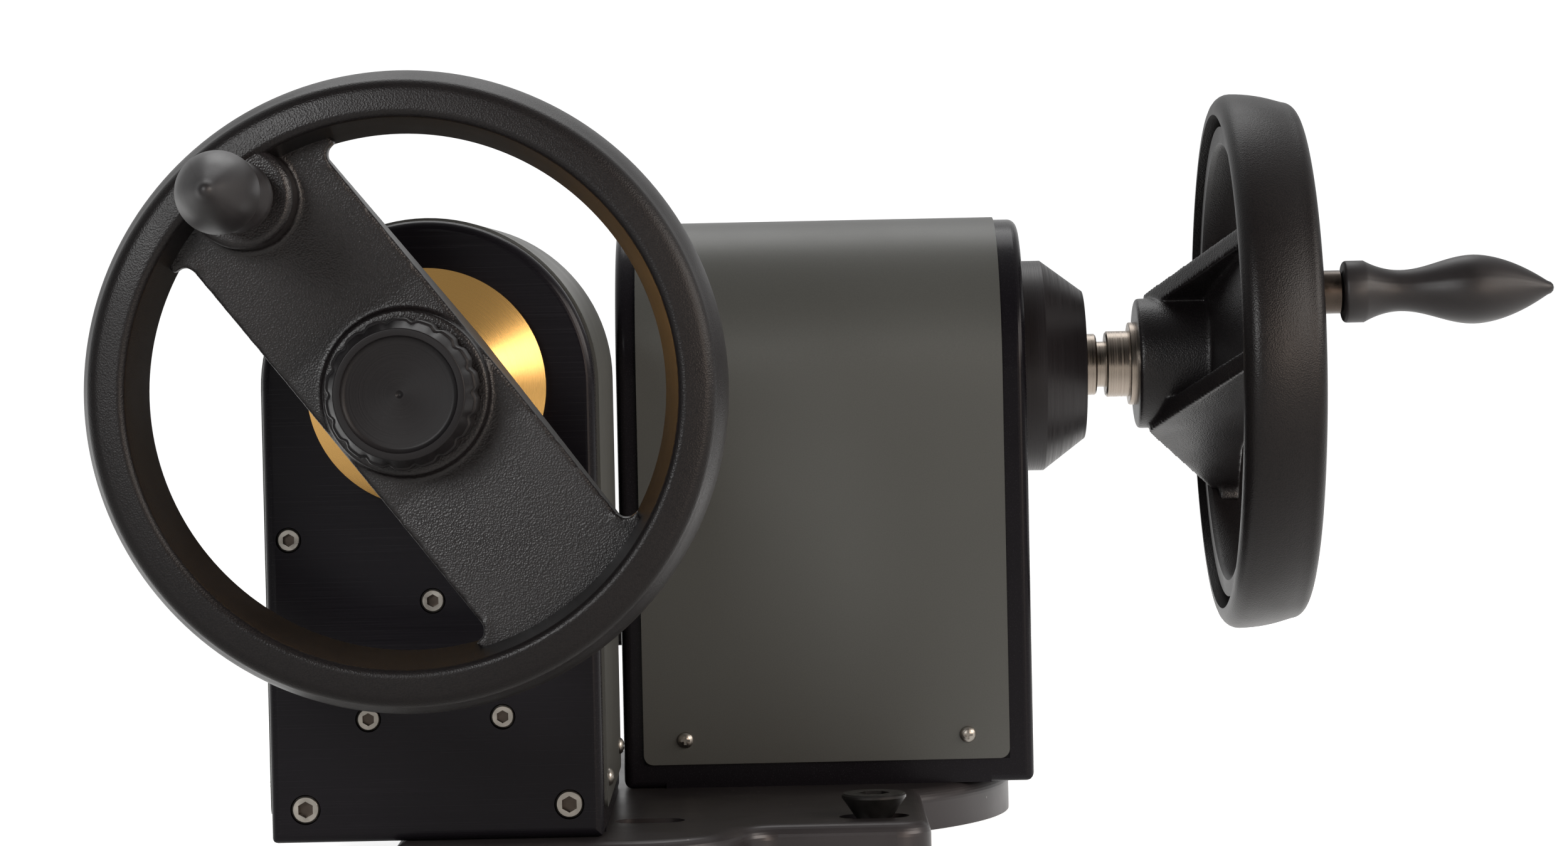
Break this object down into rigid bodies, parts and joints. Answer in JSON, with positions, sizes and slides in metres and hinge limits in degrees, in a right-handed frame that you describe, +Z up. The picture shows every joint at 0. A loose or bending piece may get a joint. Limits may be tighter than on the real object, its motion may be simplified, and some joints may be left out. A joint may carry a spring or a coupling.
{
  "type": "handwheel control unit",
  "caption": "Handwheel control unit for a remote camera head: arched gearboxes at right angles on a swept base plate, with spoked wheels, revolving grips and geared encoders.",
  "frame": {"origin": "centre of the base plate's disc, on its underside", "axes": "+Z up, +X along the pan shaft to the right, -Y along the tilt shaft to the front"},
  "size_m": [0.4945, 0.4854, 0.265],
  "materials": {
    "black_anodised": "brushed, black anodised",
    "base_anodised": "satin, black anodised",
    "cover_finish": "satin grey-green",
    "gold_anodised": "turned, gold anodised",
    "boss_anodised": "turned, black anodised",
    "stainless_steel": "turned, bright",
    "bearing_steel": "ground",
    "plated_steel": "nickel plated",
    "black_oxide_steel": "black oxide",
    "bare_aluminium": "bead blasted",
    "lead_sheath": "matt",
    "socket_shell": "nickel plated",
    "wheel_polymer": "moulded leather grain",
    "grip_polymer": "moulded satin",
    "knob_polymer": "moulded with turned face",
    "pinion_brass": "machined"
  },
  "bodies": {
    "housing": {"base_plate": "base_anodised", "clamp_bolt": "black_oxide_steel", "base_screws": "plated_steel", "tilt_front_plate": "black_anodised", "tilt_rear_plate": "black_anodised", "tilt_floor_plate": "black_anodised", "tilt_cover": "cover_finish", "tilt_bearing_boss": "gold_anodised", "tilt_boss_screws": "plated_steel", "tilt_front_bearing": "bearing_steel", "tilt_rear_bearing": "bearing_steel", "tilt_spacer_rods": "bare_aluminium", "tilt_rod_screws": "plated_steel", "tilt_floor_screws": "plated_steel", "tilt_cover_screws": "plated_steel", "tilt_gear_plate": "bare_aluminium", "tilt_gear_plate_screws": "plated_steel", "tilt_encoder": "bare_aluminium", "tilt_signal_lead": "lead_sheath", "tilt_signal_socket": "socket_shell", "pan_front_plate": "black_anodised", "pan_rear_plate": "black_anodised", "pan_floor_plate": "black_anodised", "pan_cover": "cover_finish", "pan_bearing_boss": "boss_anodised", "pan_boss_screws": "plated_steel", "pan_front_bearing": "bearing_steel", "pan_rear_bearing": "bearing_steel", "pan_spacer_rods": "bare_aluminium", "pan_rod_screws": "plated_steel", "pan_floor_screws": "plated_steel", "pan_cover_screws": "plated_steel", "pan_gear_plate": "bare_aluminium", "pan_gear_plate_screws": "plated_steel", "pan_encoder": "bare_aluminium", "pan_signal_lead": "lead_sheath", "pan_signal_socket": "socket_shell"},
    "tilt_wheel": {"tilt_drive_shaft": "stainless_steel", "tilt_drive_gear": "bearing_steel", "tilt_gear_clip": "bearing_steel", "tilt_drive_key": "bearing_steel", "tilt_hub_bush": "stainless_steel", "tilt_handwheel": "wheel_polymer", "tilt_handle_pin": "stainless_steel"},
    "tilt_handle": {"tilt_grip": "grip_polymer"},
    "tilt_knob": {"tilt_retaining_knob": "knob_polymer"},
    "tilt_pinion": {"tilt_encoder_pinion": "pinion_brass"},
    "pan_wheel": {"pan_drive_shaft": "stainless_steel", "pan_drive_gear": "bearing_steel", "pan_gear_clip": "bearing_steel", "pan_drive_key": "bearing_steel", "pan_hub_bush": "stainless_steel", "pan_handwheel": "wheel_polymer", "pan_handle_pin": "stainless_steel"},
    "pan_handle": {"pan_grip": "grip_polymer"},
    "pan_knob": {"pan_retaining_knob": "knob_polymer"},
    "pan_pinion": {"pan_encoder_pinion": "pinion_brass"}
  },
  "joints": [
    {"name": "tilt_wheel_spin", "type": "hinge", "parent": "housing", "child": "tilt_wheel", "pos_m": [-0.0993, -0.197, 0.165], "axis": [0, -1, 0], "continuous": true},
    {"name": "tilt_grip_spin", "type": "hinge", "parent": "tilt_wheel", "child": "tilt_handle", "pos_m": [-0.14701, -0.302, 0.22607], "axis": [0, -1, 0], "continuous": true},
    {"name": "tilt_knob_turn", "type": "hinge", "parent": "tilt_wheel", "child": "tilt_knob", "pos_m": [-0.0993, -0.302, 0.165], "axis": [0, -1, 0], "range_deg": [0, 360]},
    {"name": "tilt_pinion_spin", "type": "hinge", "parent": "housing", "child": "tilt_pinion", "pos_m": [-0.0993, -0.197, 0.12], "axis": [0, -1, 0], "continuous": true},
    {"name": "pan_wheel_spin", "type": "hinge", "parent": "housing", "child": "pan_wheel", "pos_m": [0.1068, 0, 0.165], "axis": [1, 0, 0], "continuous": true},
    {"name": "pan_grip_spin", "type": "hinge", "parent": "pan_wheel", "child": "pan_handle", "pos_m": [0.2118, -0.07328, 0.19023], "axis": [1, 0, 0], "continuous": true},
    {"name": "pan_knob_turn", "type": "hinge", "parent": "pan_wheel", "child": "pan_knob", "pos_m": [0.2118, 0, 0.165], "axis": [1, 0, 0], "range_deg": [0, 360]},
    {"name": "pan_pinion_spin", "type": "hinge", "parent": "housing", "child": "pan_pinion", "pos_m": [0.1068, 0, 0.12], "axis": [1, 0, 0], "continuous": true}
  ],
  "couplings": [
    {"joint": "tilt_pinion_spin", "follows": "tilt_wheel_spin", "ratio": -3},
    {"joint": "pan_pinion_spin", "follows": "pan_wheel_spin", "ratio": -3}
  ]
}
